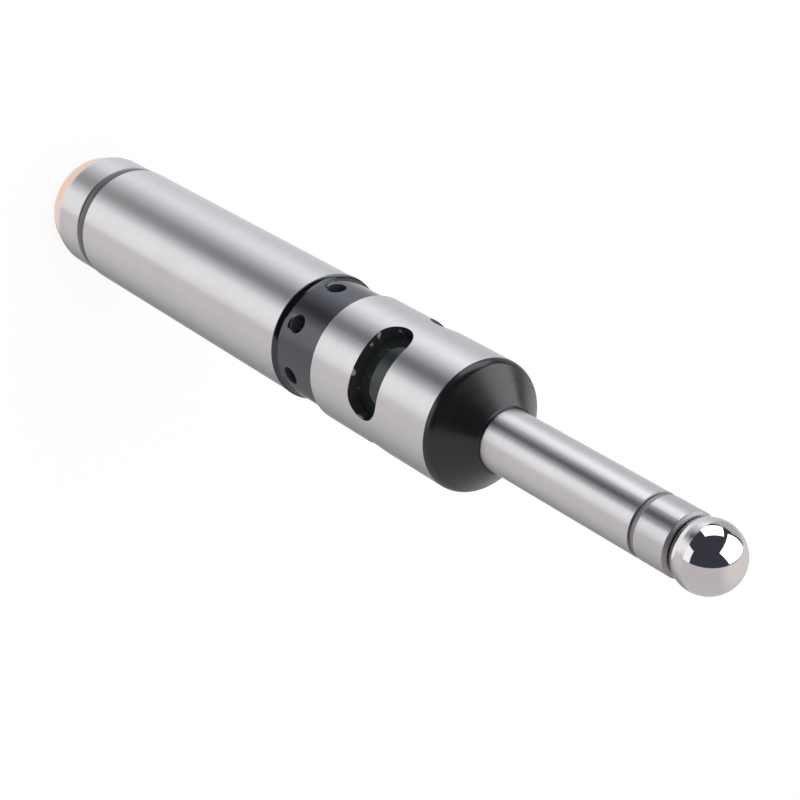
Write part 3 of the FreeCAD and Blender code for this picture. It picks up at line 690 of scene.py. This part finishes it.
def make_seat():
    """The hardened collar: matt neck and chamfered face darkened as painted shade, and the cone that holds
    the ball.
    """
    bore, tail_radius = 1.15, 2.35
    neck_depth, neck_width, undercut = 0.28, 1.0, 0.08
    chamfer, mouth_inset = 0.36, 0.7
    neck_radius, mouth = stylus_radius - neck_depth, stylus_radius - mouth_inset
    cone_depth, matt_shade_share = mouth - bore, 0.53
    seat = turned([
        (bore, seat_tail, 0),
        (tail_radius, seat_tail, 0),
        (tail_radius, stylus_end, 0),
        (neck_radius - undercut, stylus_end, 0),
        (neck_radius - undercut, stylus_end + undercut, 0),
        (neck_radius, stylus_end + undercut, 0),
        (neck_radius, stylus_end + neck_width, 0.06),
        (stylus_radius, stylus_end + neck_width, 0.06),
        (stylus_radius, seat_face - chamfer, 0.05),
        (stylus_radius - chamfer, seat_face, 0.08),
        (mouth, seat_face, 0.08),
        (bore, seat_face - cone_depth, 0),
    ])
    # Neck, face, mouth and the cone's outer part take the darker matt steel: painted shade in the neck and
    # round the ball.
    paint_shade_between(seat, stylus_end - undercut, stylus_end + neck_width + undercut / 4)
    paint_shade_between(seat, seat_face - cone_depth * matt_shade_share, seat_face + undercut)
    return add_piece(make_object("ball_seat_turned", seat, hardened_steel, matt_steel_painted_shade), "housing",
                     "ground_steel", "ball_seat")


def make_ball():
    """The polished ball."""
    mesh = bmesh.new()
    bmesh.ops.create_uvsphere(mesh, u_segments=SIDES, v_segments=SIDES // 2, radius=ball_radius * MM,
                              matrix=Matrix.Translation((0, 0, (ball_top - ball_radius) * MM)))
    return add_piece(make_object("ball_polished", mesh, polished_steel), "tip", "polished_steel", "ball")


def finish_inner_nodes():
    """Give the CAD pieces that stay in view their materials."""
    finishes = {
        "battery": battery_can,
        "battery_sleeve": insulation,
        "contact_insulator": insulation,
        "contact_rod": brass,
        "circuit_board": board_green,
        "driver_chip": part_black,
        "buzzer": part_black,
        "lamp_leads": brass,
        "lamp_holder": part_black,
        "signal_pin": brass,
        "stylus_nut": brass,
        "anchor_pin": spring_steel,
        "tension_spring": spring_steel,
        "battery_spring": spring_steel,
        "ball_stem": ground_steel,
    }
    for name, material in finishes.items():
        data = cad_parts[name].data
        data.materials.clear()
        data.materials.append(material)


make_cap()
make_cap_disc()
make_cap_thread()
make_seal()
make_shank()
make_sound_ring()
make_sleeve()
make_window_tube()
make_nose()
make_lamps()
make_stylus()
make_seat()
make_ball()
finish_inner_nodes()


# Camera, rolled so that the standing tool lies across the picture with its ball to the lower right.

CAMERA_AZIMUTH = math.radians(-4.12)
CAMERA_ELEVATION = math.radians(45.05)
CAMERA_ROLL = math.radians(120.385)
CAMERA_DISTANCE = 297.43
CAMERA_TARGET = Vector((2.60, -0.19, 89.66))
CAMERA_LENS = 92.16
CAMERA_SENSOR = 36
CLIP_START, CLIP_END = 0.01, 20

to_camera = Vector((
    math.sin(CAMERA_AZIMUTH) * math.cos(CAMERA_ELEVATION),
    -math.cos(CAMERA_AZIMUTH) * math.cos(CAMERA_ELEVATION),
    math.sin(CAMERA_ELEVATION),
))
camera_turn = to_camera.to_track_quat("Z", "Y") @ Quaternion((0, 0, 1), CAMERA_ROLL)


def make_camera():
    """The photograph's viewpoint."""
    data = bpy.data.cameras.new("camera")
    data.lens = CAMERA_LENS
    data.sensor_width = CAMERA_SENSOR
    data.clip_start = CLIP_START
    data.clip_end = CLIP_END
    camera = bpy.data.objects.new("camera", data)
    camera.rotation_mode = "QUATERNION"
    camera.rotation_quaternion = camera_turn
    camera.location = (CAMERA_TARGET + to_camera * CAMERA_DISTANCE) * MM
    bpy.context.scene.collection.objects.link(camera)
    bpy.context.scene.camera = camera


# Studio: the room that the metal mirrors, turned as the tool was when it lay on its table.

room_up = Vector((-0.814, -0.580, 0)).normalized()
room_right = camera_turn @ Vector((1, 0, 0))
room_front = room_right.cross(room_up)


def room(right, up, front):
    """A direction given in the room's own axes; its up lies sideways in the standing tool's frame."""
    return room_right * right + room_up * up + room_front * front


# Lit rectangles of the room: light, direction, width axis, height axis, half width, half height.
STUDIO = {
    "backdrop": ((0.52, 0.475, 0.48), room(0, 0, -1), room(1, 0, 0.33), room(0, 1, 0), 1.1, 0.88),
    "left softbox": ((1.08, 1.1, 1.13), room(-1, 0, 0), room(0.3, 1, 0), room(-0.25, 0, 1), 0.38, 0.8),
    "right softbox": ((2.25, 2.3, 2.36), room(0.90, 0.40, 0.15), room(0.40, -0.91, 0.10),
                      room(0.04, 0.27, -0.96), 0.48, 0.72),
    "top softbox": ((1.86, 1.9, 1.95), room(0.14, 0.91, -0.38), room(0.97, -0.20, -0.12),
                    room(-0.18, -0.36, -0.92), 0.46, 0.34),
}
SOFTBOX_EDGE = 0.94
ROOM_DARK = (0.045, 0.048, 0.06)
TABLE = (0.6, 0.56, 0.58)
TABLE_RIGHT = (0.78, 0.735, 0.72)
FOOT_LIGHT = (1.0, 0.98, 0.97)
WHITE = (1, 1, 1)
WORLD_LEVEL = 0.7

# Where one light gives way to the next: across the room, up the room, and down the tool's axis.
TABLE_RIGHT_FADE = (0.3, 0.8)
TABLE_FADE = (-0.03, -0.06)
TIP_FADE = (-0.8, -0.68)
STRIP_FADE = (-0.5, -0.57)
FOOT_FADE = (-0.87, -0.92)

# Light below the tool by degrees from the camera's side: bright strip, dark gap and grey table.
COOL = (0.985, 0.98, 1.03)
PLAIN = (1.0, 0.985, 1.0)
WARM = (1.02, 0.967, 0.985)
ROUND_THE_CAP = [
    (-180, 1.0, COOL), (-162, 0.95, COOL), (-145, 0.78, COOL), (-122, 0.76, COOL), (-97, 0.87, COOL),
    (-82, 0.84, COOL), (-60, 0.57, COOL), (-48, 0.41, COOL), (-36, 0.30, COOL), (-23, 0.37, COOL),
    (-11, 0.70, COOL), (0, 0.97, PLAIN), (13, 0.99, PLAIN), (30, 0.98, PLAIN), (40, 0.9, PLAIN),
    (45, 0.65, WARM), (68, 0.67, WARM), (98, 0.58, PLAIN), (123, 0.40, PLAIN), (147, 0.26, PLAIN),
    (160, 0.38, PLAIN), (170, 0.85, PLAIN), (180, 1.0, COOL),
]
ROUND_THE_TIP = [
    (-180, 0.60, COOL), (-168, 0.73, COOL), (-144, 0.66, COOL), (-130, 0.64, COOL), (-110, 0.68, COOL),
    (-96, 0.88, COOL), (-84, 1.06, COOL), (-72, 0.99, COOL), (-60, 0.70, COOL), (-47, 0.50, COOL),
    (-36, 0.18, COOL), (-26, 0.10, COOL), (-11, 0.48, COOL), (0, 0.92, PLAIN), (12, 1.0, PLAIN),
    (25, 0.91, PLAIN), (33, 0.78, PLAIN), (38, 0.64, WARM), (61, 0.66, WARM), (85, 0.60, PLAIN),
    (109, 0.47, PLAIN), (133, 0.34, PLAIN), (147, 0.26, PLAIN), (158, 0.36, PLAIN), (180, 0.60, COOL),
]


def make_softbox():
    """Mask of a rectangular softbox, seen from the tool as a direction."""
    group, start, end = new_group(
        "softbox",
        [
            ("Direction", "NodeSocketVector", (0, 0, 1)),
            ("Centre", "NodeSocketVector", (0, 0, 1)),
            ("Across", "NodeSocketVector", (1, 0, 0)),
            ("Along", "NodeSocketVector", (0, 1, 0)),
            ("Half Width", "NodeSocketFloat", 0.4),
            ("Half Height", "NodeSocketFloat", 0.4),
        ],
        [("Mask", "NodeSocketFloat")],
    )
    direction = start.outputs["Direction"]
    towards = along(group, direction, start.outputs["Centre"])
    distances = []
    for axis, half in (("Across", "Half Width"), ("Along", "Half Height")):
        shift = calculate(group, "DIVIDE", along(group, direction, start.outputs[axis]), towards)
        distance = calculate(group, "ABSOLUTE", shift)
        distances.append(calculate(group, "DIVIDE", distance, start.outputs[half]))
    inside = fade(group, calculate(group, "MAXIMUM", *distances), 1.0, SOFTBOX_EDGE)
    ahead = calculate(group, "GREATER_THAN", towards, 0.0)
    group.links.new(calculate(group, "MULTIPLY", inside, ahead), end.inputs["Mask"])
    return group


def light_strip(tree, share, stops):
    """The colours round the axis, from (turn, level, tint) stops."""
    ramp = add_node(tree, "ShaderNodeValToRGB", {"Fac": share})
    elements = ramp.color_ramp.elements
    for degrees, _, _ in stops[1:-1]:
        elements.new(degrees / 360 + 0.5)
    for element, (degrees, level, tint) in zip(elements, stops):
        element.position = degrees / 360 + 0.5
        element.color = (*(level * part for part in tint), 1)
    return ramp.outputs["Color"]


def make_world():
    """White for the camera, an even grey for matt surfaces, and a studio for metal and glass."""
    world = bpy.data.worlds.new("studio")
    bpy.context.scene.world = world
    world.use_nodes = True
    tree = world.node_tree
    direction = add_node(tree, "ShaderNodeTexCoord").outputs["Generated"]
    right = along(tree, direction, room_right)
    up = along(tree, direction, room_up)

    colour = ROOM_DARK
    softbox = make_softbox()
    for light, centre, across, upright, width, height in STUDIO.values():
        box = use_group(tree, softbox, centre=centre, across=across, along=upright, half_width=width,
                        half_height=height)
        tree.links.new(direction, box.inputs["Direction"])
        colour = mix_colour(tree, box.outputs["Mask"], colour, light)
    table = mix_colour(tree, fade(tree, right, *TABLE_RIGHT_FADE), TABLE, TABLE_RIGHT)
    colour = mix_colour(tree, fade(tree, up, *TABLE_FADE), colour, table)

    from_camera_side = add_node(tree, "ShaderNodeVectorRotate",
                                {"Vector": direction, "Angle": math.radians(90) - CAMERA_AZIMUTH},
                                rotation_type="Z_AXIS")
    parts = add_node(tree, "ShaderNodeSeparateXYZ", {0: from_camera_side.outputs[0]})
    turn = calculate(tree, "ARCTAN2", parts.outputs["Y"], parts.outputs["X"])
    share = calculate(tree, "MULTIPLY_ADD", turn, 1 / math.tau, 0.5)
    rise = parts.outputs["Z"]
    strip = mix_colour(tree, fade(tree, rise, *TIP_FADE), light_strip(tree, share, ROUND_THE_CAP),
                       light_strip(tree, share, ROUND_THE_TIP))
    colour = mix_colour(tree, fade(tree, rise, *STRIP_FADE), colour, strip)
    colour = mix_colour(tree, fade(tree, rise, *FOOT_FADE), colour, FOOT_LIGHT)

    rays = add_node(tree, "ShaderNodeLightPath")
    mirrored = calculate(tree, "MAXIMUM", rays.outputs["Is Glossy Ray"],
                         rays.outputs["Is Transmission Ray"])
    even = (WORLD_LEVEL, WORLD_LEVEL, WORLD_LEVEL)
    colour = mix_colour(tree, mirrored, even, colour)
    colour = mix_colour(tree, rays.outputs["Is Camera Ray"], colour, WHITE)
    background = tree.nodes["Background"]
    tree.links.new(colour, background.inputs["Color"])


LAMP_PLACE = (-0.35, -0.3, 0.9)
LAMP_SIZE = 0.7
LAMP_LEVEL = 0.3
FLOOR_SIZE = 4.0
FLOOR_WHITE = (0.95, 0.95, 0.95)
FLOOR_GLOW = 1.03
FLOOR_SHADE = 0.15


def make_lamp(name, place, size, level):
    """A square softbox that gives matt surfaces at the tool that share of full light."""
    data = bpy.data.lights.new(name, "AREA")
    data.shape = "SQUARE"
    data.size = size
    data.energy = level * math.pi ** 2 * Vector(place).length_squared
    lamp = bpy.data.objects.new(name, data)
    lamp.location = place
    lamp.rotation_mode = "QUATERNION"
    lamp.rotation_quaternion = Vector(place).to_track_quat("Z", "Y")
    lamp.visible_glossy = False
    bpy.context.scene.collection.objects.link(lamp)


def make_floor():
    """White floor: bright to the camera, but it keeps the tool's soft shadow."""
    mesh = bmesh.new()
    bmesh.ops.create_grid(mesh, x_segments=1, y_segments=1, size=FLOOR_SIZE)
    material, tree, shader = start_material("white_floor", Roughness=1.0)
    shader.inputs["Base Color"].default_value = (*FLOOR_WHITE, 1)
    shader.inputs["Specular IOR Level"].default_value = 0.0
    glow = add_node(tree, "ShaderNodeEmission", {"Color": (*WHITE, 1), "Strength": FLOOR_GLOW})
    rays = add_node(tree, "ShaderNodeLightPath")
    share = calculate(tree, "MULTIPLY", rays.outputs["Is Camera Ray"], 1 - FLOOR_SHADE)
    blend = add_node(tree, "ShaderNodeMixShader", {0: share, 1: shader.outputs[0], 2: glow.outputs[0]})
    tree.links.new(blend.outputs[0], tree.nodes["Material Output"].inputs["Surface"])
    floor = make_object("floor", mesh, material)
    floor.visible_glossy = False


make_camera()
make_world()
make_lamp("overhead", LAMP_PLACE, LAMP_SIZE, LAMP_LEVEL)
make_floor()

bpy.context.scene.view_settings.view_transform = "Standard"
